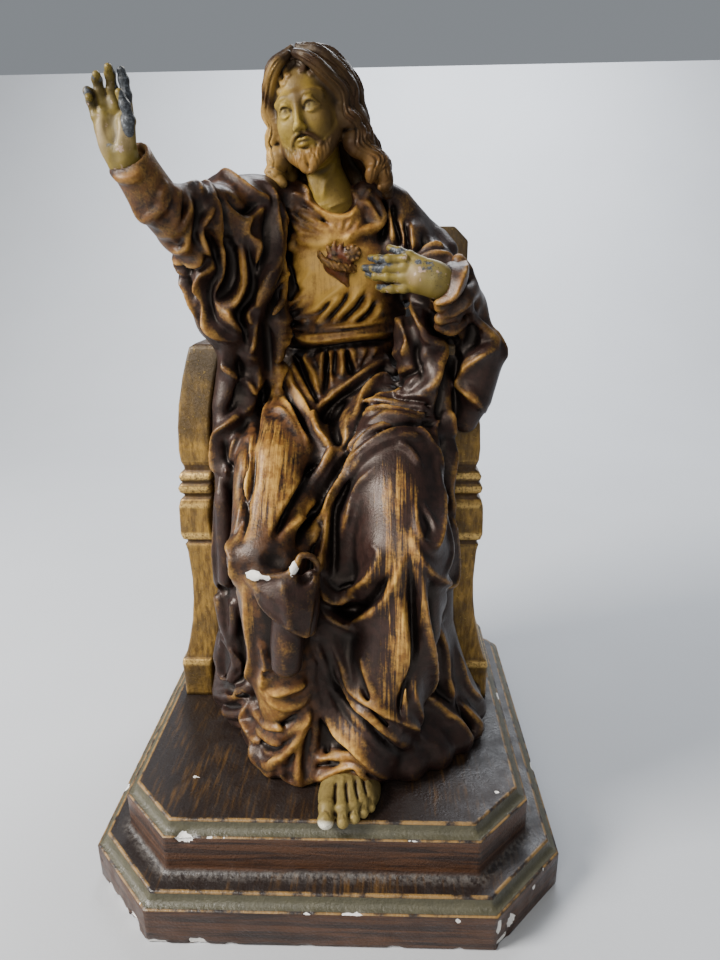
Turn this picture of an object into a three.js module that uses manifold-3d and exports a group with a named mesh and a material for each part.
// A seated robed figure with a raised hand, cast in plaster, on a gilt throne and a two-step plinth.
// Millimetres, +Z up, +X to the viewer's right, the figure faces -Y.
// The origin is at the centre of the plinth's underside.
import * as THREE from 'three';
import { mergeVertices } from 'three/addons/utils/BufferGeometryUtils.js';
import Module from 'manifold-3d';

const wasm = await Module();
wasm.setup();

// Driving dimensions

// plinth
const plinthWidth = 230;
const plinthDepth = 230;
const plinthChamfer = 35.5;
const plinthBackRadius = 8;
const lowerStepHeight = 25.5;
const upperStepHeight = 25.9;
const upperStepInset = 15.7;
const coveHeight = 5.7;
const coveDepth = 4;
const coveLip = 0.8;

// throne
const throneWidth = 160;
const throneDepth = 88;
const throneBackY = 86;
const consoleHeight = 207;
const consoleThickness = 17;
const backHeight = 265;
const backWidth = 156;
const backThickness = 16;
const backCornerCut = 8;
const seatHeight = 134;
const seatSetback = 6;

// figure
const figureHeight = 343;
const clearance = 0.3;

// hands
const wristRadius = 4.6;
const wristDepth = 7;
const wristMouthRadius = 6.4;
const wristMouthDepth = 1.4;
const socketReach = 8;
const pegReach = 3;

// modelling steps
const bodyCell = 2.6;
const headCell = 1.5;
const handCell = 0.9;
const bodyTriangles = 5200;
const headTriangles = 1700;
const handTriangles = 620;

const deckHeight = lowerStepHeight + upperStepHeight;

// Closed solids

// A geometry as a solid that can be joined and cut.
function solid(geometry) {
  const bare = geometry.clone();
  bare.deleteAttribute('normal');
  bare.deleteAttribute('uv');
  const merged = mergeVertices(bare, 1e-4);
  return new wasm.Manifold(new wasm.Mesh({
    numProp: 3,
    vertProperties: Float32Array.from(merged.attributes.position.array),
    triVerts: Uint32Array.from(merged.index.array),
  }));
}

// A solid as a geometry with flat-shaded faces.
function geometryOf(body) {
  const { vertProperties, triVerts, numProp } = body.getMesh();
  const position = new Float32Array((vertProperties.length / numProp) * 3);
  for (let i = 0; i < position.length / 3; i++) {
    for (let k = 0; k < 3; k++) position[3 * i + k] = vertProperties[i * numProp + k];
  }
  const geometry = new THREE.BufferGeometry();
  geometry.setAttribute('position', new THREE.BufferAttribute(position, 3));
  geometry.setIndex(new THREE.BufferAttribute(Uint32Array.from(triVerts), 1));
  geometry.computeVertexNormals();
  return geometry;
}

// A shape pushed along +Z from a height.
function prism(points, from, to) {
  const shape = new THREE.Shape(points.map(([x, y]) => new THREE.Vector2(x, y)));
  const geometry = new THREE.ExtrudeGeometry(shape, { depth: to - from, bevelEnabled: false });
  geometry.translate(0, 0, from);
  return solid(geometry);
}

function block(low, high) {
  const [x0, y0, z0] = low;
  const [x1, y1, z1] = high;
  return prism([[x0, y0], [x1, y0], [x1, y1], [x0, y1]], z0, z1);
}

// Rings of equal point counts, one above the other, closed at both ends.
function loft(rings) {
  const count = rings[0].points.length;
  const position = rings.flatMap(({ z, points }) => points.flatMap(([x, y]) => [x, y, z]));
  const index = [];
  for (let level = 0; level < rings.length - 1; level++) {
    for (let i = 0; i < count; i++) {
      const a = level * count + i;
      const b = level * count + ((i + 1) % count);
      index.push(a, b, b + count, a, b + count, a + count);
    }
  }
  const outline = rings[0].points.map(([x, y]) => new THREE.Vector2(x, y));
  const top = (rings.length - 1) * count;
  for (const [a, b, c] of THREE.ShapeUtils.triangulateShape(outline, [])) {
    index.push(a, c, b);
    index.push(top + a, top + b, top + c);
  }
  const geometry = new THREE.BufferGeometry();
  geometry.setAttribute('position', new THREE.Float32BufferAttribute(position, 3));
  geometry.setIndex(index);
  return solid(geometry);
}

// Plinth

// The plinth's outline, inset all round: cut corners in front, rounded corners behind.
function plinthOutline(inset) {
  const halfWidth = plinthWidth / 2 - inset;
  const halfDepth = plinthDepth / 2 - inset;
  const cut = plinthChamfer - inset * (2 - Math.SQRT2);
  const radius = Math.max(plinthBackRadius - inset * 0.3, 2);
  const points = [
    [-halfWidth + cut, -halfDepth], [halfWidth - cut, -halfDepth], [halfWidth, -halfDepth + cut],
  ];
  const turns = 4;
  for (const side of [1, -1]) {
    for (let i = 0; i <= turns; i++) {
      const angle = (side === 1 ? 0 : Math.PI / 2) + (i / turns) * (Math.PI / 2);
      const x = side * (halfWidth - radius) + radius * Math.cos(angle);
      points.push([x, halfDepth - radius + radius * Math.sin(angle)]);
    }
  }
  points.push([-halfWidth, -halfDepth + cut]);
  return points;
}

// One step: a plain side, a small lip and a cove that runs in to the top edge.
function step(inset, from, to) {
  const rings = [[0, from], [0, to - coveHeight]];
  const turns = 3;
  for (let i = 0; i <= turns; i++) {
    const angle = (i / turns) * (Math.PI / 2);
    const reach = coveLip + (coveDepth - coveLip) * Math.sin(angle);
    const lipRise = i === 0 ? coveLip * 0.5 : 0;
    rings.push([reach, to - coveHeight * Math.cos(angle) + lipRise]);
  }
  rings[rings.length - 1][1] = to;
  return loft(rings.map(([reach, z]) => ({ z, points: plinthOutline(inset + reach) })));
}

function plinth() {
  const lower = step(0, 0, lowerStepHeight);
  const upper = step(upperStepInset, lowerStepHeight - 1, deckHeight);
  return lower.add(upper);
}

// Throne

// A smooth curve through a few (height, reach) pairs, read at any height.
function profile(pairs) {
  return (height) => {
    let i = 0;
    while (i < pairs.length - 2 && height > pairs[i + 1][0]) i++;
    const [h0, r0] = pairs[i];
    const [h1, r1] = pairs[i + 1];
    const t = Math.min(Math.max((height - h0) / (h1 - h0), 0), 1);
    const s = (1 - Math.cos(Math.PI * t)) / 2;
    return r0 + (r1 - r0) * s;
  };
}

// How far the console's outer face stands beyond the throne's half width, by share of the console's height.
const consoleOuter = profile([
  [0, 10], [0.115, 10], [0.15, 6], [0.28, 1.5], [0.42, -0.5], [0.455, 1], [0.475, 1], [0.485, -1],
  [0.52, 2], [0.57, -1.5], [0.585, 1.5], [0.615, 1.5], [0.63, -0.5], [0.655, -0.5], [0.67, -2.5],
  [0.76, -1], [0.9, -6], [1, -10],
]);
// How far its front edge stands behind the throne's front, by the same share.
const consoleFront = profile([
  [0, 0], [0.11, 0], [0.14, 5], [0.25, 9], [0.42, 5], [0.455, 3], [0.475, 3], [0.485, 5], [0.53, 1.5],
  [0.575, 6], [0.585, 3], [0.615, 3], [0.63, 6], [0.655, 6], [0.72, 4], [0.8, 6], [0.9, 9], [1, 13],
]);

// One side console: its front-view outline run through from front to back, met by its side-view outline.
function consoleSolid(side, grow) {
  const levels = 46;
  const outer = [];
  const inner = [];
  const edge = [];
  for (let i = 0; i <= levels; i++) {
    const share = i / levels;
    const height = share * (consoleHeight + grow);
    const reach = throneWidth / 2 + consoleOuter(share) + grow;
    outer.push([side * reach, height]);
    inner.unshift([side * (reach - consoleThickness - 2 * grow), height]);
    edge.push([throneBackY - throneDepth + consoleFront(share) - grow, height]);
  }
  const frontOutline = side === 1 ? [...outer, ...inner] : [...outer, ...inner].reverse();
  const shapeOf = (outline) => new THREE.Shape(outline.map(([x, y]) => new THREE.Vector2(x, y)));
  const frontView = new THREE.ExtrudeGeometry(shapeOf(frontOutline), {
    depth: throneDepth + 2,
    bevelEnabled: false,
  });
  frontView.rotateX(Math.PI / 2);
  frontView.translate(0, throneBackY, 0);
  const backEdge = throneBackY - backThickness / 2 + grow;
  const sideOutline = [...edge, [backEdge, consoleHeight + grow], [backEdge, 0]];
  const sideView = new THREE.ExtrudeGeometry(shapeOf(sideOutline.reverse()), {
    depth: throneWidth * 2,
    bevelEnabled: false,
  });
  // the shape's x runs along Y, its y along Z, and its depth along X
  sideView.applyMatrix4(new THREE.Matrix4().makeBasis(
    new THREE.Vector3(0, 1, 0), new THREE.Vector3(0, 0, 1), new THREE.Vector3(1, 0, 0)));
  sideView.translate(-throneWidth, 0, 0);
  return solid(frontView).intersect(solid(sideView));
}

// The whole throne, standing on the deck. grow moves every face of it out, for what has to clear it.
function throne(grow) {
  const half = backWidth / 2 + grow;
  const back = new THREE.ExtrudeGeometry(new THREE.Shape([
    [-half, 0], [half, 0], [half, backHeight - backCornerCut], [half - backCornerCut, backHeight + grow],
    [-half + backCornerCut, backHeight + grow], [-half, backHeight - backCornerCut],
  ].map(([x, z]) => new THREE.Vector2(x, z))), { depth: backThickness + grow, bevelEnabled: false });
  back.rotateX(Math.PI / 2);
  back.translate(0, throneBackY, 0);
  const seatHalf = throneWidth / 2 - consoleThickness + 2;
  const seatFront = throneBackY - throneDepth + seatSetback - grow;
  const seatBack = throneBackY - backThickness / 2;
  const seat = block([-seatHalf, seatFront, 0], [seatHalf, seatBack, seatHeight + grow]);
  return solid(back).add(seat).add(consoleSolid(1, grow)).add(consoleSolid(-1, grow))
    .translate(0, 0, deckHeight + (grow > 0 ? 0 : clearance));
}

// Modelling in clay: a grid of distances to the surface, negative inside

// A smooth line through a few points of equal length, with some steps for each span.
function spline(points, steps) {
  const last = points.length - 1;
  const at = (i, k) => {
    if (i < 0) return 2 * points[0][k] - points[1][k];
    if (i > last) return 2 * points[last][k] - points[last - 1][k];
    return points[i][k];
  };
  const line = [];
  for (let i = 0; i < last; i++) {
    for (let n = 0; n < steps; n++) {
      const t = n / steps;
      line.push(points[0].map((_, k) => {
        const [a, b, c, d] = [at(i - 1, k), at(i, k), at(i + 1, k), at(i + 2, k)];
        const bend = (2 * a - 5 * b + 4 * c - d) * t * t + (3 * b - 3 * c + d - a) * t ** 3;
        return 0.5 * (2 * b + (c - a) * t + bend);
      }));
    }
  }
  line.push(points[last]);
  return line;
}

class Clay {
  constructor(low, high, cell) {
    this.low = low;
    this.cell = cell;
    this.count = low.map((v, k) => Math.ceil((high[k] - v) / cell) + 1);
    this.field = new Float32Array(this.count[0] * this.count[1] * this.count[2]).fill(30);
    this.rest = this.field;
    this.high = new Float32Array(this.field.length);
    this.deep = new Float32Array(this.field.length);
  }

  // Blends a distance into every cell of a window: joined on, or carved away.
  blend(low, high, soft, carve, distance) {
    const [x0, y0, z0] = this.low;
    const from = low.map((v, k) => Math.max(Math.floor((v - this.low[k]) / this.cell), 0));
    const to = high.map((v, k) => Math.min(Math.ceil((v - this.low[k]) / this.cell), this.count[k] - 1));
    for (let k = from[2]; k <= to[2]; k++) {
      for (let j = from[1]; j <= to[1]; j++) {
        for (let i = from[0]; i <= to[0]; i++) {
          const d = distance(x0 + i * this.cell, y0 + j * this.cell, z0 + k * this.cell);
          const n = (k * this.count[1] + j) * this.count[0] + i;
          const old = this.field[n];
          if (carve) {
            const h = Math.max(soft - Math.abs(old + d), 0) / soft;
            this.field[n] = Math.max(old, -d) + h * h * soft / 4;
          } else {
            const h = Math.max(soft - Math.abs(old - d), 0) / soft;
            this.field[n] = Math.min(old, d) - h * h * soft / 4;
          }
        }
      }
    }
  }

  ball(centre, radii, soft = 6, carve = false) {
    const low = centre.map((v, k) => v - radii[k] - soft);
    const high = centre.map((v, k) => v + radii[k] + soft);
    this.blend(low, high, soft, carve, (x, y, z) => {
      const p = [x - centre[0], y - centre[1], z - centre[2]];
      const near = Math.hypot(...p.map((v, k) => v / radii[k]));
      const slope = Math.hypot(...p.map((v, k) => v / radii[k] ** 2));
      return near * (near - 1) / Math.max(slope, 1e-6);
    });
  }

  // A string of round cones: each point is x, y, z and a radius.
  tube(path, soft = 4, carve = false) {
    const reach = Math.max(...path.map((p) => p[3])) + soft;
    const low = [0, 1, 2].map((k) => Math.min(...path.map((p) => p[k])) - reach);
    const high = [0, 1, 2].map((k) => Math.max(...path.map((p) => p[k])) + reach);
    const spans = path.slice(1).map((b, i) => {
      const a = path[i];
      const along = [b[0] - a[0], b[1] - a[1], b[2] - a[2]];
      const square = Math.max(along[0] ** 2 + along[1] ** 2 + along[2] ** 2, 1e-9);
      return { a, along, grow: b[3] - a[3], square };
    });
    this.blend(low, high, soft, carve, (x, y, z) => {
      let best = Infinity;
      for (const { a, along, grow, square } of spans) {
        const [px, py, pz] = [x - a[0], y - a[1], z - a[2]];
        const t = Math.min(Math.max((px * along[0] + py * along[1] + pz * along[2]) / square, 0), 1);
        const d = Math.hypot(px - t * along[0], py - t * along[1], pz - t * along[2]) - a[3] - t * grow;
        if (d < best) best = d;
      }
      return best;
    });
  }

  // Keeps the surface as it stands now, for folds to be laid on.
  settle() {
    this.rest = this.field.slice();
  }

  // Distance to the settled surface at a point.
  depth(point) {
    const last = this.count.map((n) => n - 1.001);
    const g = point.map((v, k) => Math.min(Math.max((v - this.low[k]) / this.cell, 0), last[k]));
    const [i, j, k] = g.map(Math.floor);
    const [u, v, w] = [g[0] - i, g[1] - j, g[2] - k];
    let sum = 0;
    for (let c = 0; c < 8; c++) {
      const [a, b, e] = [c & 1, (c >> 1) & 1, c >> 2];
      const share = (a ? u : 1 - u) * (b ? v : 1 - v) * (e ? w : 1 - w);
      sum += share * this.rest[((k + e) * this.count[1] + j + b) * this.count[0] + i + a];
    }
    return sum;
  }

  // The nearest place on the settled surface, and the way out of it.
  snap(point) {
    let p = [...point];
    let out = [0, -1, 0];
    for (let turn = 0; turn < 5; turn++) {
      const e = this.cell * 0.7;
      const slope = [0, 1, 2].map((k) => {
        const step = [0, 0, 0];
        step[k] = e;
        return this.depth(p.map((v, n) => v + step[n])) - this.depth(p.map((v, n) => v - step[n]));
      });
      const size = Math.hypot(...slope) || 1;
      out = slope.map((v) => v / size);
      const d = this.depth(p);
      p = p.map((v, k) => v - out[k] * d);
    }
    return { p, out };
  }

  // A fold raised along the settled surface near some points, or a crease where its height is below zero.
  // It has a sharp crest, with flanks as wide as given on each side.
  fold(points, height, width) {
    const steps = 4;
    const easedEnds = 3;
    const tipShare = 0.35;
    const crest = 1.6;
    const line = spline(points, steps).map((point) => this.snap(point));
    const ease = (t) => Math.min(1, tipShare + easedEnds * t);
    const taperAt = (t) => ease(t) * ease(1 - t);
    const relief = height < 0 ? this.deep : this.high;
    for (let i = 0; i < line.length - 1; i++) {
      const [a, b] = [line[i], line[i + 1]];
      const taper = Math.abs(height) * taperAt((i + 0.5) / (line.length - 1));
      this.ridge(relief, a.p, b.p, a.out.map((v, k) => (v + b.out[k]) / 2), taper, width, crest);
    }
  }

  // One straight stretch of a fold, noted in the relief where it is higher than what is there.
  ridge(relief, a, b, out, height, width, crest) {
    const reach = 8;
    const along = b.map((v, k) => v - a[k]);
    const square = Math.max(along[0] ** 2 + along[1] ** 2 + along[2] ** 2, 1e-6);
    const pad = out.map((v) => width + reach * Math.abs(v));
    const low = a.map((v, k) => (Math.min(v, b[k]) - pad[k] - this.low[k]) / this.cell);
    const high = a.map((v, k) => (Math.max(v, b[k]) + pad[k] - this.low[k]) / this.cell);
    const from = low.map((v) => Math.max(Math.ceil(v), 0));
    const to = high.map((v, k) => Math.min(Math.floor(v), this.count[k] - 1));
    for (let k = from[2]; k <= to[2]; k++) {
      for (let j = from[1]; j <= to[1]; j++) {
        for (let i = from[0]; i <= to[0]; i++) {
          let [x, y, z] = [i, j, k].map((n, axis) => this.low[axis] + n * this.cell - a[axis]);
          const t = Math.min(Math.max((x * along[0] + y * along[1] + z * along[2]) / square, 0), 1);
          [x, y, z] = [x - t * along[0], y - t * along[1], z - t * along[2]];
          const up = x * out[0] + y * out[1] + z * out[2];
          const aside = Math.sqrt(Math.max(x * x + y * y + z * z - up * up, 0));
          if (aside >= width || Math.abs(up) >= reach) continue;
          const fade = Math.min((reach - Math.abs(up)) / 2, 1);
          const n = (k * this.count[1] + j) * this.count[0] + i;
          relief[n] = Math.max(relief[n], height * fade * (1 - aside / width) ** crest);
        }
      }
    }
  }

  // Folds spread between a first and a last one of as many points.
  fan(first, last, count, height, width) {
    for (let i = 0; i < count; i++) {
      const t = i / (count - 1);
      this.fold(first.map((p, n) => p.map((v, k) => v + (last[n][k] - v) * t)), height, width);
    }
  }

  // Works the folds and creases into the surface.
  press() {
    for (let n = 0; n < this.field.length; n++) this.field[n] += this.deep[n] - this.high[n];
  }

  // The surface of the clay, as a closed mesh of shared points. Each cell is cut into six tetrahedra round
  // its long diagonal; a corner's number has one bit for each axis.
  surface() {
    const [nx, ny, nz] = this.count;
    // clay that reaches the grid's side is cut off flat there
    for (let n = 0; n < this.field.length; n++) {
      const [i, j, k] = [n % nx, Math.floor(n / nx) % ny, Math.floor(n / (nx * ny))];
      const atSide = i * j * k === 0 || i === nx - 1 || j === ny - 1 || k === nz - 1;
      if (atSide) this.field[n] = Math.max(this.field[n], this.cell / 2);
    }
    const corner = (bits) => (bits & 1) + ((bits >> 1) & 1) * nx + (bits >> 2) * nx * ny;
    const offset = [...Array(8).keys()].map(corner);
    const tetrahedra = [[0, 1, 3, 7], [0, 1, 5, 7], [0, 2, 3, 7], [0, 2, 6, 7], [0, 4, 5, 7], [0, 4, 6, 7]];
    const seen = new Map();
    const position = [];
    const index = [];
    const placeOf = (n) => [n % nx, Math.floor(n / nx) % ny, Math.floor(n / (nx * ny))];
    const crossing = (cell, p, q) => {
      const [low, high] = p < q ? [p, q] : [q, p];
      const key = (cell + offset[low]) * 8 + (high ^ low);
      if (!seen.has(key)) {
        const [a, b] = [cell + offset[low], cell + offset[high]];
        const t = Math.min(Math.max(this.field[a] / (this.field[a] - this.field[b]), 0.06), 0.94);
        const [from, to] = [placeOf(a), placeOf(b)];
        seen.set(key, position.length / 3);
        position.push(...from.map((v, k) => this.low[k] + (v + (to[k] - v) * t) * this.cell));
      }
      return seen.get(key);
    };
    const addFace = (a, b, c, outward) => {
      const [p, q, r] = [a, b, c].map((n) => position.slice(3 * n, 3 * n + 3));
      const u = q.map((v, k) => v - p[k]);
      const v = r.map((w, k) => w - p[k]);
      const facing = (u[1] * v[2] - u[2] * v[1]) * outward[0]
        + (u[2] * v[0] - u[0] * v[2]) * outward[1]
        + (u[0] * v[1] - u[1] * v[0]) * outward[2];
      index.push(...(facing > 0 ? [a, b, c] : [a, c, b]));
    };
    for (let k = 0; k < nz - 1; k++) {
      for (let j = 0; j < ny - 1; j++) {
        for (let i = 0; i < nx - 1; i++) {
          const cell = (k * ny + j) * nx + i;
          const solidCorners = offset.filter((o) => this.field[cell + o] < 0).length;
          if (solidCorners === 0 || solidCorners === 8) continue;
          for (const corners of tetrahedra) {
            const inside = corners.filter((c) => this.field[cell + offset[c]] < 0);
            const outside = corners.filter((c) => this.field[cell + offset[c]] >= 0);
            if (inside.length === 0 || outside.length === 0) continue;
            const centre = (set, axis) => set.reduce((sum, c) => sum + ((c >> axis) & 1), 0) / set.length;
            const outward = [0, 1, 2].map((axis) => centre(outside, axis) - centre(inside, axis));
            if (inside.length === 2) {
              const ring = [[0, 0], [0, 1], [1, 1], [1, 0]]
                .map(([m, n]) => crossing(cell, inside[m], outside[n]));
              addFace(ring[0], ring[1], ring[2], outward);
              addFace(ring[0], ring[2], ring[3], outward);
            } else {
              const single = inside.length === 1;
              const [lone, others] = single ? [inside[0], outside] : [outside[0], inside];
              addFace(...others.map((c) => crossing(cell, lone, c)), outward);
            }
          }
        }
      }
    }
    return { position, index };
  }
}

// Thins a closed mesh to a number of triangles, taking away first what changes its form least.
function thin({ position, index }, triangles) {
  const point = Float64Array.from(position);
  const face = Int32Array.from(index);
  const faces = face.length / 3;
  const around = Array.from({ length: point.length / 3 }, () => new Set());
  for (let f = 0; f < faces; f++) for (let c = 0; c < 3; c++) around[face[3 * f + c]].add(f);
  const quadric = new Float64Array((point.length / 3) * 10);
  const version = new Int32Array(point.length / 3);
  const normalOf = (a, b, c) => {
    const [ux, uy, uz] = [b[0] - a[0], b[1] - a[1], b[2] - a[2]];
    const [vx, vy, vz] = [c[0] - a[0], c[1] - a[1], c[2] - a[2]];
    return [uy * vz - uz * vy, uz * vx - ux * vz, ux * vy - uy * vx];
  };
  const at = (v) => [point[3 * v], point[3 * v + 1], point[3 * v + 2]];
  for (let f = 0; f < faces; f++) {
    const [a, b, c] = [at(face[3 * f]), at(face[3 * f + 1]), at(face[3 * f + 2])];
    const n = normalOf(a, b, c);
    const area = Math.hypot(...n) || 1e-12;
    const [x, y, z] = n.map((v) => v / area);
    const w = -(x * a[0] + y * a[1] + z * a[2]);
    const terms = [x * x, x * y, x * z, x * w, y * y, y * z, y * w, z * z, z * w, w * w];
    for (let c2 = 0; c2 < 3; c2++) {
      const base = face[3 * f + c2] * 10;
      for (let k = 0; k < 10; k++) quadric[base + k] += terms[k] * area;
    }
  }
  const neighbours = (v) => {
    const set = new Set();
    for (const f of around[v]) for (let c = 0; c < 3; c++) set.add(face[3 * f + c]);
    set.delete(v);
    return set;
  };
  // where two joined points go, and what that costs
  const plan = (a, b) => {
    const q = new Float64Array(10);
    for (let k = 0; k < 10; k++) q[k] = quadric[a * 10 + k] + quadric[b * 10 + k];
    const middle = [0, 1, 2].map((k) => (point[3 * a + k] + point[3 * b + k]) / 2);
    const soft = 1e-3 * (q[0] + q[4] + q[7]) + 1e-9;
    const m = new THREE.Matrix3();
    m.set(q[0] + soft, q[1], q[2], q[1], q[4] + soft, q[5], q[2], q[5], q[7] + soft).invert();
    const pull = [q[3], q[6], q[8]].map((v, k) => soft * middle[k] - v);
    const target = new THREE.Vector3(...pull).applyMatrix3(m);
    const [x, y, z] = target.toArray();
    const cost = q[0] * x * x + 2 * q[1] * x * y + 2 * q[2] * x * z + 2 * q[3] * x + q[4] * y * y
      + 2 * q[5] * y * z + 2 * q[6] * y + q[7] * z * z + 2 * q[8] * z + q[9];
    const span = (point[3 * a] - point[3 * b]) ** 2 + (point[3 * a + 1] - point[3 * b + 1]) ** 2
      + (point[3 * a + 2] - point[3 * b + 2]) ** 2;
    return { cost: cost + 1e-4 * span, a, b, target: [x, y, z], stamp: version[a] + version[b] };
  };
  const heap = [];
  const push = (item) => {
    let i = heap.push(item) - 1;
    while (i > 0) {
      const up = (i - 1) >> 1;
      if (heap[up].cost <= item.cost) break;
      heap[i] = heap[up];
      i = up;
    }
    heap[i] = item;
  };
  const pop = () => {
    const first = heap[0];
    const item = heap.pop();
    if (heap.length === 0) return first;
    let i = 0;
    for (;;) {
      let child = 2 * i + 1;
      if (child >= heap.length) break;
      if (child + 1 < heap.length && heap[child + 1].cost < heap[child].cost) child++;
      if (heap[child].cost >= item.cost) break;
      heap[i] = heap[child];
      i = child;
    }
    heap[i] = item;
    return first;
  };
  for (let v = 0; v < around.length; v++) for (const n of neighbours(v)) if (n > v) push(plan(v, n));
  // a face must not turn over, or become a sliver, when its point moves
  const sliver = 2e-3;
  const turnsOver = (v, other, target) => {
    for (const f of around[v]) {
      const corners = [face[3 * f], face[3 * f + 1], face[3 * f + 2]];
      if (corners.includes(other)) continue;
      const before = normalOf(...corners.map(at));
      const after = normalOf(...corners.map((c) => (c === v ? target : at(c))));
      if (Math.hypot(...before) < sliver) continue;
      const dot = before[0] * after[0] + before[1] * after[1] + before[2] * after[2];
      if (dot <= 0.25 * Math.hypot(...before) * Math.hypot(...after)) return true;
      if (Math.hypot(...after) < sliver) return true;
    }
    return false;
  };
  let left = faces;
  while (left > triangles && heap.length > 0) {
    const { a, b, target, stamp } = pop();
    if (around[a].size === 0 || around[b].size === 0 || version[a] + version[b] !== stamp) continue;
    const near = neighbours(a);
    if (!near.has(b)) continue;
    let shared = 0;
    for (const n of neighbours(b)) if (near.has(n)) shared++;
    if (shared !== 2 || turnsOver(a, b, target) || turnsOver(b, a, target)) continue;
    for (const f of around[b]) {
      const corners = [face[3 * f], face[3 * f + 1], face[3 * f + 2]];
      if (corners.includes(a)) {
        for (const c of corners) around[c].delete(f);
        face[3 * f] = -1;
        left--;
      } else {
        for (let c = 0; c < 3; c++) if (face[3 * f + c] === b) face[3 * f + c] = a;
        around[a].add(f);
      }
    }
    around[b].clear();
    for (let k = 0; k < 3; k++) point[3 * a + k] = target[k];
    for (let k = 0; k < 10; k++) quadric[a * 10 + k] += quadric[b * 10 + k];
    version[a] += 1 + version[b];
    for (const n of neighbours(a)) push(plan(a, n));
  }
  const kept = [];
  for (let f = 0; f < faces; f++) {
    if (face[3 * f] >= 0) kept.push(face[3 * f], face[3 * f + 1], face[3 * f + 2]);
  }
  const name = new Map();
  const places = [];
  for (const v of kept) {
    if (name.has(v)) continue;
    name.set(v, name.size);
    places.push(...at(v));
  }
  return { position: places, index: kept.map((v) => name.get(v)) };
}

// A thinned mesh as a solid. Loose crumbs are dropped.
function cast(mesh, triangles) {
  const { position, index } = thin(mesh, triangles);
  const geometry = new THREE.BufferGeometry();
  geometry.setAttribute('position', new THREE.Float32BufferAttribute(position, 3));
  geometry.setIndex(index);
  const pieces = solid(geometry).decompose();
  return pieces.sort((a, b) => b.volume() - a.volume())[0];
}

// A solid's own mesh, for thinning out the slivers that a cut leaves.
function meshOf(body) {
  const geometry = geometryOf(body);
  return { position: geometry.attributes.position.array, index: geometry.index.array };
}

// Figure, in millimetres above the deck as drawn at this height
const drawnHeight = 343;

// Chest, waist and hips, the shoulders in one roll, and the neck.
function trunk(clay) {
  clay.ball([5, 34, 241], [40, 24, 34], 6);
  clay.ball([8, 32, 211], [31, 24, 26], 8);
  clay.ball([4, 36, 171], [46, 34, 32], 8);
  clay.tube([[-38, 30, 265, 15], [6, 30, 267, 15], [50, 30, 261, 15]], 10);
  clay.ball([2, 44, 235], [48, 22, 48], 12);
  clay.tube([[4, 26, 267, 15], [2, 20, 285, 11], [0, 15, 296, 11]], 5);
}

// Both legs under the robe: thighs, shins, and the cloth between them.
function legs(clay) {
  clay.tube([[-22, 26, 167, 24], [-24, -24, 147, 21], [-25, -56, 117, 17]], 8);
  clay.tube([[28, 26, 167, 26], [34, -22, 151, 25], [38, -54, 121, 19]], 8);
  clay.tube([[-25, -58, 115, 16], [-22, -58, 69, 15], [-18, -54, 37, 16], [-14, -52, 11, 17]], 8);
  clay.tube([[38, -54, 119, 20], [36, -56, 79, 20], [30, -58, 44, 19], [22, -58, 15, 19]], 8);
  // cloth slung between the knees, and falling inside the left leg
  clay.tube([[4, -10, 154, 18], [5, -34, 134, 13], [6, -40, 112, 13], [4, -44, 86, 13], [4, -48, 58, 14],
    [8, -52, 30, 15]], 9);
}

// The skirts behind the legs, and their hem on the deck.
function skirt(clay) {
  for (const [x, top, foot] of [[-36, 18, 24], [0, 22, 26], [42, 20, 28]]) {
    clay.tube([[x, -12, 109, top], [x, -14, 59, (top + foot) / 2], [x, -16, 15, foot]], 8);
  }
  // lobes of the hem where it spreads on the deck
  const lobes = [[-60, -8, 8], [-51, -24, 8], [-38, -42, 8], [-33, -54, 8], [-24, -62, 8], [-12, -66, 8],
    [4, -64, 9], [30, -60, 9], [42, -62, 9], [56, -54, 9], [68, -44, 8], [76, -34, 7], [80, -20, 6],
    [80, -2, 6]];
  for (const [x, y, radius] of lobes) {
    clay.tube([[x * 0.7, y * 0.7, 33, radius * 0.8], [x, y, 6, radius]], 6);
  }
}

// The raised right arm and the bent left arm, in their sleeves.
function arms(clay) {
  clay.tube([[-40, 22, 266, 15], [-50, -8, 265, 16], [-58, -26, 263, 14.5], [-66, -38, 270, 10.5],
    [-71, -46, 282, 10.5]], 6);
  clay.tube([[50, 28, 257, 16], [66, 12, 229, 17], [66, 2, 221, 14]], 6);
  clay.tube([[66, 0, 221, 12], [60, -14, 229, 11], [55, -20, 235, 10]], 5);
}

// The mantle where it hangs clear of the body.
function mantle(clay) {
  // over the raised arm, and down beside the thigh to the deck
  clay.tube([[-48, 10, 274, 13], [-55, -8, 249, 14], [-50, -6, 221, 13], [-44, -2, 205, 9]], 6);
  clay.tube([[-34, 14, 273, 14], [-37, 0, 249, 15], [-33, 4, 219, 14], [-34, 6, 195, 12]], 6);
  clay.tube([[-46, 0, 201, 8], [-50, -6, 177, 8], [-50, -10, 154, 8], [-50, -14, 129, 8],
    [-52, -18, 99, 7.5], [-54, -20, 87, 7]], 6);
  clay.tube([[-54, -12, 74, 8], [-54, -12, 44, 9], [-60, -10, 11, 10]], 6);
  clay.tube([[-44, 10, 189, 14], [-46, 4, 149, 14], [-46, -2, 99, 12], [-46, -2, 39, 14]], 6);
  // over the other arm, hanging beside it
  clay.tube([[62, 16, 249, 13], [74, 2, 225, 12], [79, -2, 201, 12], [74, -3, 179, 8], [70, -3, 166, 6]],
    6);
  clay.tube([[46, 0, 211, 12], [50, -6, 189, 12], [54, -10, 167, 10], [54, -14, 144, 12],
    [52, -18, 124, 12]], 6);
  // at the outer side of the left leg
  clay.tube([[52, -18, 127, 10], [56, -24, 99, 9], [56, -22, 61, 9], [64, -18, 29, 12], [72, -14, 9, 12]],
    6);
}

// The bare left foot that shows under the hem.
function foot(clay) {
  clay.tube([[14, -60, 17, 11], [14, -80, 9, 9], [12, -92, 5, 5]], 4);
}

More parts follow.
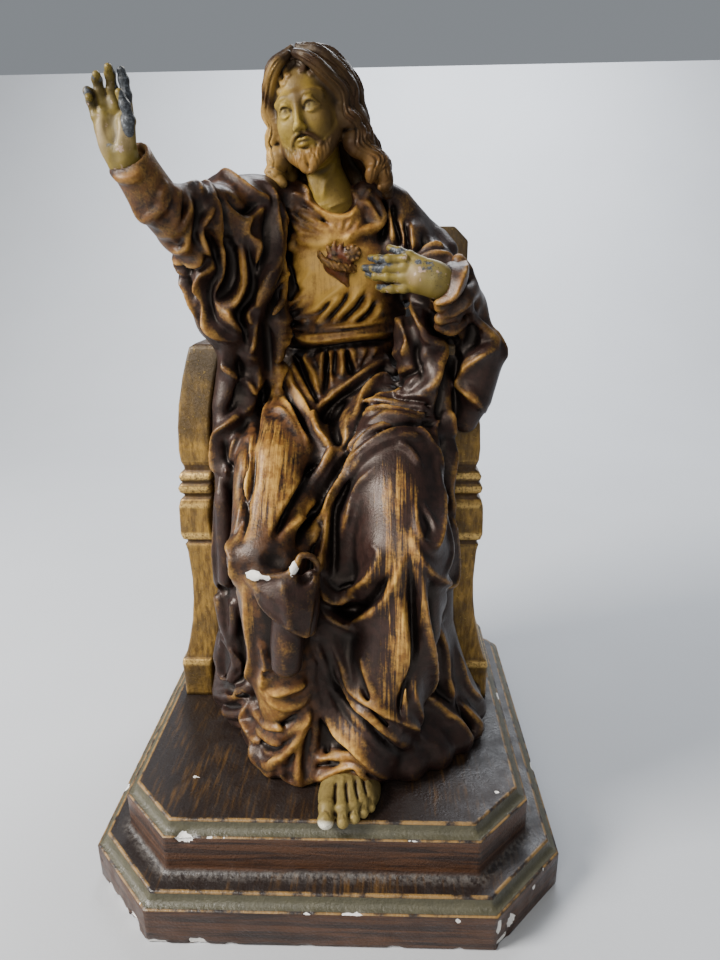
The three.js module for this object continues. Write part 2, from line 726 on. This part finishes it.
// Creased cloth round the raised sleeve.
function sleeveFolds(clay) {
  const rings = 5;
  for (let i = 0; i < rings; i++) {
    const t = 0.05 + (0.95 * i) / (rings - 1);
    const [x, y, z] = [-52 - 18 * t, -12 - 33 * t, 264 + 17 * t];
    const radius = 15.5 - 5 * t;
    clay.fold([[x - radius, y - 2, z - 8], [x - 3, y - radius, z - 3],
      [x + radius * 0.7, y - radius * 0.6, z + radius * 0.6]], 2.2, 5);
  }
  clay.fold([[-50, -32, 273], [-48, -35, 267], [-49, -37, 261], [-51, -36, 256], [-51, -31, 252]], -7.5, 6);
  clay.fold([[-67, -16, 250], [-61, -22, 248], [-56, -24, 248], [-51, -31, 252]], 3, 4.6);
}

// The tunic's neckline, and the gathers that meet under it.
function collarFolds(clay) {
  clay.fold([[-14, 27, 281], [-7, 15, 274], [0, 12, 269], [7, 11, 267], [14, 13, 268],
    [17, 20, 278]], 3, 4.6);
  clay.fold([[18, 23, 279], [21, 17, 273], [26, 15, 267], [28, 14, 264], [26, 15, 261]], 3, 4.6);
}

// The tunic drawn up across the chest.
function chestFolds(clay) {
  clay.fan([[-21, -2, 218], [-6, 10, 221], [13, 11, 238]], [[20, 11, 216], [24, 13, 222], [28, 16, 230]],
    5, 2.4, 4.4);
  clay.fan([[-22, 12, 240], [-20, 16, 224], [-7, 10, 236]], [[-14, 12, 248], [-10, 12, 236], [0, 10, 244]],
    2, 2.2, 4.6);
}

// The sash, a band of three rolls.
function sashFolds(clay) {
  clay.fold([[-21, 0, 214], [-9, 12, 212], [9, 9, 214], [31, 17, 217]], 2.7, 4.6);
  clay.fold([[-21, 0, 211], [-9, 12, 210], [9, 9, 212], [32, 17, 214]], 3, 4.6);
  clay.fold([[-21, 2, 207], [-4, 10, 208], [12, 8, 210], [32, 17, 211]], 3, 4.6);
}

// Gathers that fall from the sash.
function waistFolds(clay) {
  clay.fan([[-14, 14, 203], [-17, 6, 186]], [[21, 12, 205], [14, 2, 188]], 6, 2.2, 4);
  clay.fold([[-1, 10, 204], [-1, 10, 191], [-2, 4, 180]], -3.9, 4.6);
  clay.fold([[-19, 23, 199], [-14, 13, 191], [-9, 5, 183], [-5, 2, 176]], -3.9, 4.6);
}

// Folds fanning out over the right hip.
function hipFolds(clay) {
  clay.fold([[-21, 25, 200], [-16, 12, 190], [-10, 4, 182], [-6, 0, 175]], 3.2, 5);
  clay.fold([[-22, 16, 192], [-18, 5, 184], [-11, -7, 174], [-5, -22, 165]], 3, 5);
  clay.fold([[-22, -2, 180], [-17, -13, 174], [-12, -23, 166], [-8, -30, 160]], 3.2, 5.4);
}

// The robe's edge from hip to shin.
function robeEdge(clay) {
  clay.fold([[-26, -3, 194], [-33, -4, 177], [-33, -30, 165], [-33, -47, 150], [-38, -60, 130]], -4.4, 4.8);
}

// The mantle's rolled edge, drawn across the lap.
function lapFolds(clay) {
  clay.fold([[9, 2, 179], [3, -1, 173], [5, -22, 167], [7, -27, 162]], -6.8, 6);
  clay.fold([[20, 6, 187], [7, 3, 180], [-1, -1, 173], [0, -17, 170]], -4.4, 5.2);
  clay.fold([[38, -9, 191], [25, -4, 183], [18, -12, 177], [14, -25, 168], [10, -29, 161]], -5.2, 5.6);
  clay.fold([[52, -21, 171], [36, -33, 173], [24, -34, 170], [13, -32, 161]], -3.9, 4.8);
  clay.fold([[49, -15, 201], [43, -15, 195], [33, 5, 187]], -3.9, 4.8);
  clay.fold([[39, -10, 206], [29, 17, 194], [18, 8, 189], [6, 4, 182], [-3, 2, 175],
    [-6, -5, 172]], 3.9, 5.4);
  clay.fold([[-6, -3, 173], [-6, -13, 171], [-3, -20, 167], [2, -25, 163], [4, -29, 160]], 3.9, 5);
  clay.fold([[40, -12, 195], [30, 7, 188], [21, -1, 183], [17, -12, 176], [15, -24, 169],
    [13, -32, 160]], 3.6, 5.4);
  clay.fold([[21, -8, 180], [37, -9, 182], [54, -18, 185]], 2.7, 4.6);
  clay.fold([[18, -14, 176], [37, -23, 177], [53, -20, 173]], 2.7, 4.6);
  clay.fold([[8, -39, 147], [12, -36, 154], [19, -39, 162], [31, -38, 170], [44, -30, 172]], 3, 5);
  clay.fold([[44, -30, 172], [50, -35, 165], [54, -35, 159], [56, -39, 148]], 2.7, 4.6);
}

// Folds that fall between the knees.
function kneeFolds(clay) {
  clay.fold([[1, -30, 158], [-7, -38, 150], [-14, -53, 140], [-19, -66, 131]], -6, 5.6);
  clay.fold([[11, -32, 159], [5, -37, 149], [-2, -45, 137], [-9, -61, 124]], -7.5, 6.4);
  clay.fold([[11, -40, 147], [6, -47, 135], [5, -51, 120], [5, -54, 106]], -6.8, 6.4);
  clay.fold([[7, -26, 163], [1, -31, 156], [-5, -36, 151], [-11, -45, 147], [-16, -55, 140],
    [-21, -66, 132]], 3.9, 5.4);
  clay.fold([[9, -31, 158], [5, -37, 149], [0, -43, 142], [-8, -50, 134], [-16, -64, 131]], 3.9, 5.4);
  clay.fold([[14, -34, 160], [7, -39, 148], [2, -46, 137], [-5, -48, 127], [-7, -60, 120]], 3.9, 5.4);
  clay.fold([[8, -39, 148], [4, -47, 135], [2, -51, 119], [0, -53, 106]], 3.9, 5.4);
  clay.fold([[55, -40, 148], [55, -52, 138], [52, -67, 129], [49, -71, 126]], 3.2, 5);
  clay.fold([[63, -16, 161], [61, -25, 144], [63, -24, 122]], 3.6, 5.4);
  clay.fold([[59, -21, 163], [58, -29, 150], [60, -27, 134], [61, -27, 118]], -5.1, 4.8);
}

// Swags slung under the left knee.
function shinFolds(clay) {
  clay.fold([[4, -56, 91], [13, -55, 87], [24, -69, 101], [31, -74, 115]], -4.4, 5.6);
  clay.fold([[36, -76, 45], [42, -74, 69], [43, -74, 94], [41, -75, 119]], -5.2, 6);
  clay.fold([[50, -71, 112], [53, -66, 79], [64, -37, 25]], -4.8, 5.2);
  clay.fold([[-1, -53, 104], [2, -55, 96], [7, -55, 93], [18, -61, 102], [25, -70, 115],
    [28, -72, 125]], 3.6, 5.8);
  clay.fold([[-2, -54, 93], [3, -57, 86], [13, -56, 81], [25, -71, 97], [33, -74, 111],
    [38, -74, 125]], 2.7, 5);
  clay.fold([[29, -49, 156], [38, -62, 142], [44, -72, 130], [49, -71, 126], [53, -65, 130],
    [51, -54, 142]], 2.7, 4.6);
  clay.fold([[42, -71, 131], [45, -74, 123], [53, -68, 112], [63, -28, 89], [62, -26, 123],
    [55, -44, 145]], 3.2, 5);
}

// Skirts that sweep down to the left foot.
function skirtFolds(clay) {
  clay.fold([[-1, -59, 74], [8, -64, 50], [23, -76, 37], [38, -71, 19]], -5.2, 6);
  clay.fold([[-5, -62, 61], [-1, -65, 37], [7, -70, 23], [19, -79, 18]], -5.2, 5.6);
  clay.fold([[65, -33, 28], [73, -38, 16], [78, -41, 8]], -4.2, 5.2);
  clay.fold([[-2, -57, 79], [0, -60, 68], [6, -63, 56], [14, -68, 47], [25, -76, 43],
    [43, -65, 18]], 4.2, 6.2);
  clay.fold([[-6, -61, 69], [-3, -64, 47], [4, -67, 32], [16, -75, 25], [30, -73, 8]], 4.2, 6.2);
  clay.fold([[3, -59, 74], [13, -65, 55], [26, -76, 50], [41, -72, 38], [57, -59, 13]], 3.2, 5.8);
  clay.fold([[44, -74, 123], [47, -72, 93], [51, -63, 57], [59, -43, 23], [74, -47, 10]], 3.9, 5.8);
  clay.fold([[56, -61, 102], [59, -32, 58], [62, -33, 34], [70, -35, 20], [81, -37, 10]], 3.6, 5.4);
  clay.fold([[68, -27, 49], [74, -26, 27], [85, -20, 10]], 3, 5);
  clay.fold([[37, -75, 104], [40, -75, 79], [43, -72, 51], [51, -58, 16]], 2.7, 5.4);
}

// The tunic's hem on the deck.
function hemFolds(clay) {
  clay.fold([[-15, -71, 54], [-17, -70, 37], [-21, -69, 13]], -4.4, 5.6);
  clay.fold([[-30, -67, 46], [-29, -65, 30], [-33, -60, 14]], -3.9, 5.2);
  clay.fold([[-9, -67, 46], [-12, -69, 23], [-12, -74, 8]], -4.4, 5.2);
  clay.fold([[-6, -65, 48], [-10, -68, 35], [-13, -69, 20], [-14, -73, 5]], 3.6, 5.4);
  clay.fold([[-8, -66, 56], [-16, -71, 55], [-25, -71, 53]], 3, 5);
  clay.fold([[-13, -69, 54], [-19, -70, 42], [-24, -68, 26], [-24, -69, 11]], 3.2, 5.4);
  clay.fold([[-24, -71, 54], [-39, -41, 23], [-28, -66, 33], [-22, -68, 29]], 3, 5);
  clay.fold([[-42, -38, 24], [-45, -40, 14], [-39, -53, 12]], 3, 5);
  clay.fold([[-5, -69, 13], [5, -72, 17], [15, -78, 20]], 3, 4.6);
  clay.fold([[-5, -71, 4], [4, -74, 10], [13, -83, 17], [24, -75, 6]], 3.6, 5);
}

// The mantle over the raised arm.
function armMantle(clay) {
  clay.fold([[-43, -19, 275], [-40, -22, 262], [-40, -15, 247], [-42, -16, 236], [-48, -19, 230]], -9, 7.2);
  clay.fold([[-43, -29, 266], [-46, -22, 251], [-51, -20, 236], [-51, -19, 221],
    [-45, -16, 215]], -4.2, 7.6);
  clay.fold([[-34, -13, 256], [-32, -14, 246], [-32, -12, 236], [-36, -12, 227], [-39, -13, 221],
    [-37, -10, 210]], -6, 6);
  clay.fold([[-26, -2, 267], [-25, -6, 256], [-27, -11, 246], [-31, -12, 236]], -5.1, 5.2);
  clay.fold([[-21, 9, 273], [-22, 16, 252], [-22, -4, 240], [-26, -10, 234], [-31, -11, 231]], -6, 5.2);
  clay.fold([[-21, -2, 233], [-24, -6, 219], [-27, -6, 207], [-27, -5, 199]], -10.4, 7.6);
  clay.fold([[-60, -22, 247], [-61, -18, 237], [-58, -18, 229], [-58, -16, 220],
    [-55, -14, 212]], -3.9, 4.6);
  clay.fold([[-31, -3, 272], [-34, -10, 268], [-37, -15, 271], [-41, -16, 276]], -3.9, 4.6);
  clay.fold([[-56, -33, 277], [-52, -25, 277], [-49, -33, 272]], 2.7, 5.4);
  clay.fold([[-44, -28, 269], [-48, -36, 262], [-50, -36, 257], [-49, -30, 252], [-48, -21, 248]], 3, 4.6);
  clay.fold([[-48, -21, 248], [-55, -21, 240], [-58, -17, 225], [-48, -16, 212],
    [-41, -12, 211]], 3.2, 4.6);
  clay.fold([[-66, -17, 249], [-64, -17, 243], [-58, -20, 239]], 2.7, 4.6);
  clay.fold([[-66, -14, 241], [-62, -16, 231], [-52, -12, 207]], 2.7, 4.6);
  clay.fold([[-41, -24, 262], [-38, -15, 247], [-39, -13, 233], [-45, -18, 226]], 3.6, 5);
  clay.fold([[-45, -18, 226], [-44, -17, 221], [-41, -14, 217], [-38, -11, 213]], 3.2, 4.6);
  clay.fold([[-48, 0, 284], [-46, 4, 285], [-38, 0, 280], [-31, -1, 276], [-27, 1, 274],
    [-26, 0, 271]], 3.2, 5);
  clay.fold([[-26, 0, 271], [-34, -12, 265], [-33, -12, 256], [-31, -13, 246]], 3.2, 4.6);
  clay.fold([[-28, 6, 282], [-23, 2, 268], [-23, -6, 246], [-31, -12, 231]], 3.2, 4.6);
  clay.fold([[-25, 7, 282], [-22, 13, 257], [-23, -6, 237], [-32, -11, 227]], 3.2, 4.6);
  clay.fold([[-32, -11, 227], [-36, -11, 224], [-36, -11, 220], [-34, -10, 218]], 3, 4.6);
  clay.fold([[-26, -8, 221], [-31, -10, 218], [-33, -9, 213], [-35, -8, 207], [-37, -9, 203]], 3, 4.6);
}

// The mantle beside the right thigh.
function sideMantle(clay) {
  clay.fold([[-43, -11, 203], [-42, -9, 192], [-44, -11, 181], [-51, -15, 172]], -4.2, 5.2);
  clay.fold([[-38, -24, 164], [-36, -39, 156], [-38, -43, 148], [-35, -55, 139],
    [-35, -66, 129]], -4.4, 4.6);
  clay.fold([[-49, -12, 205], [-44, -9, 192], [-37, -3, 182], [-43, -11, 174]], 3.2, 4.6);
  clay.fold([[-43, -11, 174], [-49, -15, 170], [-55, -15, 163], [-56, -16, 149],
    [-52, -19, 144]], 3.2, 4.6);
  clay.fold([[-43, -15, 164], [-40, -32, 158], [-44, -29, 151], [-51, -19, 145]], 2.7, 4.6);
  clay.fold([[-51, -19, 143], [-39, -43, 146], [-40, -48, 139], [-51, -22, 123], [-49, -25, 115],
    [-35, -69, 124]], 3, 4.6);
  clay.fold([[-54, -20, 136], [-56, -22, 114], [-59, -25, 90]], 3.2, 5.4);
  clay.fold([[-41, -60, 126], [-37, -70, 121], [-38, -70, 111]], 3, 4.6);
}

// The mantle beside the right shin.
function lowMantle(clay) {
  clay.fold([[-48, -29, 73], [-47, -33, 52], [-47, -36, 29]], -4.2, 5.2);
  clay.fold([[-53, -24, 76], [-57, -23, 52], [-61, -20, 24]], 3, 5.4);
  clay.fold([[-33, -71, 104], [-32, -70, 86], [-33, -68, 66], [-44, -37, 26]], 3, 5.4);
  clay.fold([[-27, -72, 82], [-25, -72, 69], [-29, -69, 53]], 2.7, 4.6);
}

// The mantle over the left shoulder.
function shoulderFolds(clay) {
  clay.fold([[34, 18, 273], [36, 15, 263], [38, 15, 253]], -3.9, 4.6);
  clay.fold([[29, 20, 275], [30, 15, 265], [28, 15, 256]], -4.8, 5.2);
  clay.fold([[31, 18, 273], [33, 15, 263], [35, 16, 254]], 2.6, 4.6);
  clay.fold([[45, 11, 250], [51, 8, 255], [57, 7, 258], [61, 6, 257]], 2.7, 4.6);
  clay.fold([[47, 8, 248], [56, 4, 251], [64, 3, 252], [70, 1, 247], [73, -4, 239]], 2.7, 4.6);
}

// Rings of cloth at the left cuff.
function cuffFolds(clay) {
  clay.fold([[68, -2, 243], [67, -19, 236], [65, -24, 229], [58, -24, 224]], -5.1, 4.8);
  clay.fold([[73, -13, 228], [69, -16, 221], [64, -13, 215]], -4.4, 4.8);
  clay.fold([[64, -2, 244], [63, -25, 238], [60, -27, 231], [54, -27, 228], [51, -26, 228]], 3.6, 4.6);
  clay.fold([[69, -20, 231], [65, -23, 225], [60, -22, 222], [54, -21, 223]], 3.2, 4.6);
  clay.fold([[66, -18, 220], [63, -15, 217], [59, -15, 217]], 3, 4.6);
  clay.fold([[62, -1, 245], [68, -1, 245], [71, -3, 241], [70, -7, 236]], 2.7, 4.6);
}

// The mantle that falls from the left arm.
function sideDrapes(clay) {
  clay.fold([[75, -12, 219], [73, -12, 212], [67, -7, 204]], -6, 7.6);
  clay.fold([[64, -7, 209], [59, -14, 185], [57, -19, 172]], -7.5, 6);
  clay.fold([[46, -12, 210], [44, -14, 202], [48, -17, 192]], -4.8, 5.2);
  clay.fold([[51, -15, 223], [56, -10, 214], [65, -5, 207]], -6, 6);
  clay.fold([[68, -21, 228], [70, -16, 222], [75, -12, 217], [80, -11, 213], [85, -10, 209]], 3, 4.6);
  clay.fold([[85, -11, 206], [76, -13, 202], [70, -10, 196], [68, -8, 189], [72, -10, 183],
    [79, -8, 176]], 3.2, 4.6);
  clay.fold([[41, 25, 229], [43, -2, 222], [46, -11, 216], [52, -11, 211]], 3, 4.6);
  clay.fold([[56, -12, 199], [54, -16, 192], [49, -18, 185]], 3, 4.6);
  clay.fold([[62, -14, 176], [63, -16, 162]], 2.7, 4.6);
  clay.fold([[41, -10, 214], [41, -11, 208], [39, -10, 202]], 2.7, 4.6);
}

// The heart on the chest, with the knot of its wreath.
function heart(clay) {
  clay.ball([11, 5, 248], [6, 4.5, 7], 1.5);
  clay.tube([[8, 4, 245, 3], [13, 4, 240, 1.8]], 1.5);
  clay.ball([19, 5, 253], [4, 3, 4], 1.5);
}

// The broken end of the mantle that hangs over the right shin.
function hangingCloth(clay) {
  clay.tube([[-30, -72, 113, 3.2], [-20, -78, 115, 3.2], [-8, -76, 117, 3.2], [-3, -70, 116, 3]], 2);
  clay.tube([[-19, -74, 110, 9], [-14, -73, 92, 8], [-13, -70, 78, 6]], 3);
  clay.tube([[-30, -72, 113, 2.4], [-26, -76, 101, 2.4], [-13, -79, 88, 2.4], [-9, -77, 72, 2.2]], 2);
  clay.tube([[-22, -74, 69, 2.4], [-9, -76, 70, 2.4]], 2);
  clay.tube([[0, -78, 108, 3.5], [-3, -80, 90, 3.5], [-4, -80, 60, 3.5]], 2.5, true);
}

// Head, in its own upright frame: origin in the middle of the skull, face to -Y.

function face(clay) {
  clay.ball([0, 4, 6], [19.5, 23, 21], 3);
  clay.ball([0, -5, -7], [16, 16, 22], 6);
  clay.ball([0, -9, -20], [10.5, 10.5, 8], 6);
  for (const s of [-1, 1]) {
    clay.ball([s * 7, -22.5, -0.5], [5, 4, 4], 3, true);
    clay.ball([s * 6.8, -16.6, -1.3], [3.8, 3.6, 3.2], 1);
    clay.tube([[s * 3, -20.5, 3.4, 1.6], [s * 8, -19.6, 5, 1.7], [s * 13, -15.5, 3, 1.5]], 3);
    clay.ball([s * 9, -14.5, -9], [5, 4.5, 5], 4);
    clay.ball([s * 2.6, -22.6, -11], [1.9, 2.4, 1.8], 1.5);
    clay.tube([[s * 0.8, -22.8, -13.6, 1.7], [s * 4.5, -21.4, -14.6, 1.7], [s * 7.5, -18.6, -18, 1.6]],
      1.5);
    clay.tube([[s * 15.5, -3, -8, 2.2], [s * 14, -8, -16, 3], [s * 9, -14, -23, 3.8],
      [s * 4, -17, -26, 4.2]], 3);
    clay.tube([[s * 3.6, -17.5, -24, 4.2], [s * 3.8, -18.5, -29, 3], [s * 2.4, -19, -32, 1.4]], 2);
  }
  clay.tube([[0, -19.6, 3, 1.8], [0, -22.4, -4, 2], [0, -24.6, -10, 2.5]], 2);
  clay.tube([[-3.6, -20.6, -18, 1.4], [0, -22, -18.6, 1.6], [3.6, -20.6, -18, 1.4]], 1);
}

// Long hair parted in the middle: a cap and a fall of hair to the shoulders, then the locks that comb it.
function hairMass(clay) {
  clay.ball([0, 9, 6], [20.5, 21, 22], 3);
  for (const s of [-1, 1]) {
    clay.tube([[s * 15, 3, 15, 6], [s * 20, 4, 2, 6], [s * 20.5, 6, -12, 6.5], [s * 23, 9, -25, 7],
      [s * 24, 10, -35, 6]], 4);
    clay.tube([[s * 12, 20, 8, 9], [s * 15, 23, -12, 9], [s * 15, 21, -32, 9]], 5);
  }
  clay.tube([[0, 24, 4, 10], [0, 28, -14, 10], [0, 25, -30, 9]], 5);
}

function hairLocks(clay) {
  const locks = 9;
  const drops = 9;
  for (const s of [-1, 1]) {
    for (let i = 0; i < locks; i++) {
      const turn = THREE.MathUtils.degToRad(-55 + (i * 140) / (locks - 1));
      const [across, along] = [Math.cos(turn), Math.sin(turn)];
      const path = [];
      for (let n = 0; n <= drops; n++) {
        const t = n / drops;
        const spread = Math.min(1, 0.1 + 2.2 * t);
        const wave = 0.09 * Math.sin(n * 1.7 + i * 2.1);
        const [x, y] = [s * 25 * (across + wave) * spread, 6 + 24 * (along + wave) * spread];
        path.push([x, y, 27 - 62 * t ** 1.25]);
      }
      clay.fold(path, i % 2 === 0 ? 1.9 : -1.9, 4.2);
    }
  }
}

// The head leans to its right and looks a little that way.
const headLean = 7;
const headTurn = 16;
const headPlace = [-1, 14, 315];

function head() {
  const clay = new Clay([-34, -32, -44], [34, 40, 34], headCell);
  hairMass(clay);
  clay.settle();
  hairLocks(clay);
  clay.press();
  face(clay);
  clay.tube([[0, 4, -18, 11], [2, 8, -40, 11.5]], 3);
  const upright = cast(clay.surface(), headTriangles);
  return upright.rotate([0, 0, -headTurn]).rotate([0, -headLean, 0]).translate(headPlace);
}

// Hands, each from its wrist: the right with its fingers up and its palm in front, the left with its
// fingers to -X.

function rightHand() {
  const clay = new Clay([-18, -12, -12], [12, 12, 40], handCell);
  clay.ball([-4, 0.5, 15], [8, 3.2, 11], 3);
  clay.tube([[0, 0, 4, 4.8], [-2, 0.5, 9, 5]], 3);
  clay.ball([0.5, -2, 12], [3.4, 2.6, 6.5], 2);
  clay.ball([-7.5, -1.6, 11], [2.8, 2.2, 7.5], 2);
  clay.tube([[2.4, 0, 18, 1.9], [2.2, -0.6, 27, 1.7], [2.2, -1.6, 33, 1.5]], 1);
  clay.tube([[3, -2, 9, 2.4], [3.4, -4, 17, 2], [1.8, -5.4, 25.5, 1.6]], 1);
  clay.tube([[-2.6, 0, 22, 2], [-2.8, -0.4, 30, 1.8], [-2, -3.6, 33.5, 1.7]], 1);
  clay.tube([[-7.2, 0, 21, 2], [-7.8, -0.6, 28, 1.8], [-7, -3.8, 31, 1.7]], 1);
  clay.tube([[-10.8, 0, 19, 2], [-11.4, -1.2, 24.5, 1.9], [-11, -4.4, 23, 1.7]], 1);
  return cast(clay.surface(), handTriangles);
}

function leftHand() {
  const clay = new Clay([-42, -12, -12], [10, 12, 20], handCell);
  clay.ball([-11, 0, 3], [12, 3.4, 8], 3);
  clay.tube([[-4, 0, 0.5, 5], [-8, 0, 1.5, 5.6]], 3);
  const fingers = [[10, 10.4, -33], [6.2, 6, -37], [1.4, 3, -34.5], [-3.4, -2.6, -29.5]];
  for (const [root, tip, reach] of fingers) {
    const knuckle = (root + tip) / 2 - 0.6;
    clay.tube([[-16, -0.5, root, 2.1], [-25, -1.2, knuckle, 1.8], [reach, 2, tip, 1.3]], 1);
  }
  clay.tube([[-10, 0.5, 9, 2.4], [-18, 1, 12.6, 1.9], [-24, 2.5, 14.6, 1.4]], 1);
  return cast(clay.surface(), handTriangles);
}

// A round stub under each wrist, and the socket in the sleeve that takes it.
function stub(radius, from, to) {
  const geometry = new THREE.CylinderGeometry(radius, radius, to - from, 20);
  geometry.rotateX(Math.PI / 2);
  geometry.translate(0, 0, (from + to) / 2);
  return solid(geometry);
}

const rightWrist = [-73, -50, 283];
const leftWrist = [54, -24, 237];
const leftHandTurn = [0, -90, -18];

// Cuffs: the end of each sleeve is cut off across, and hollowed round the wrist.
function cuffs(clay) {
  clay.ball([-80, -52, 297], [14, 14, 14], 1.5, true);
  clay.tube([[-71, -47, 279, 6.6], [-76, -51, 290, 8]], 1.5, true);
  clay.ball([44, -31, 245], [13, 13, 13], 1.5, true);
  clay.tube([[57, -23, 236, 6.6], [46, -24, 238, 10]], 1.5, true);
  clay.ball([40, -18, 240], [13, 7, 11], 1.5, true);
}

// A hand's stub, or its socket, in place at its wrist.
function atRightWrist(body) {
  return body.translate(rightWrist);
}

function atLeftWrist(body) {
  return body.rotate(leftHandTurn).translate(leftWrist);
}

function figure() {
  const clay = new Clay([-98, -106, -8], [98, 72, 296], bodyCell);
  const masses = [trunk, legs, skirt, arms, mantle, foot];
  const drapery = [sleeveFolds, collarFolds, chestFolds, sashFolds, waistFolds, hipFolds, robeEdge,
    lapFolds, kneeFolds, shinFolds, skirtFolds, hemFolds, armMantle, sideMantle, lowMantle, shoulderFolds,
    cuffFolds, sideDrapes];
  for (const mass of masses) mass(clay);
  clay.settle();
  for (const folds of drapery) folds(clay);
  clay.press();
  for (const detail of [heart, hangingCloth, cuffs]) detail(clay);
  const mouth = stub(wristMouthRadius, -wristMouthDepth, socketReach);
  const socket = stub(wristRadius + clearance, -wristDepth - clearance, socketReach).add(mouth);
  const body = cast(clay.surface(), bodyTriangles).add(head());
  return body.subtract(atRightWrist(socket)).subtract(atLeftWrist(socket));
}

// The right hand and the left hand, with their stubs.
function handPieces() {
  const peg = stub(wristRadius, -wristDepth, pegReach);
  const left = leftHand().rotate([0, 90, 0]).add(peg);
  return { right: atRightWrist(rightHand().add(peg)), left: atLeftWrist(left) };
}

// Whole object

// From the drawn height above the deck to the real one, standing just clear of the deck.
function onDeck(body) {
  const share = figureHeight / drawnHeight;
  return body.scale([share, share, share]).translate([0, 0, deckHeight]);
}

// The figure as it stands on the deck and sits in the throne, clear of both.
function seated(body) {
  const room = block([-plinthWidth, -plinthDepth, deckHeight + clearance],
    [plinthWidth, plinthDepth, deckHeight + figureHeight + clearance * 10]);
  const cut = body.intersect(room).subtract(throne(clearance * 1.5));
  return cast(meshOf(cut), bodyTriangles + headTriangles);
}

const group = new THREE.Group();

function addPiece(name, body, color, roughness, metalness) {
  const material = new THREE.MeshStandardMaterial({ color, roughness, metalness });
  const mesh = new THREE.Mesh(geometryOf(body), material);
  mesh.name = name;
  group.add(mesh);
}

const hands = handPieces();
addPiece('plinth', plinth(), 0x3f2a1c, 0.5, 0);
addPiece('throne', throne(0), 0x8a6a26, 0.5, 0.4);
addPiece('figure', seated(onDeck(figure())), 0x4a2f22, 0.45, 0);
addPiece('right_hand', cast(meshOf(onDeck(hands.right)), handTriangles), 0x8f8345, 0.45, 0.2);
addPiece('left_hand', cast(meshOf(onDeck(hands.left)), handTriangles), 0x8f8345, 0.45, 0.2);

export default group;
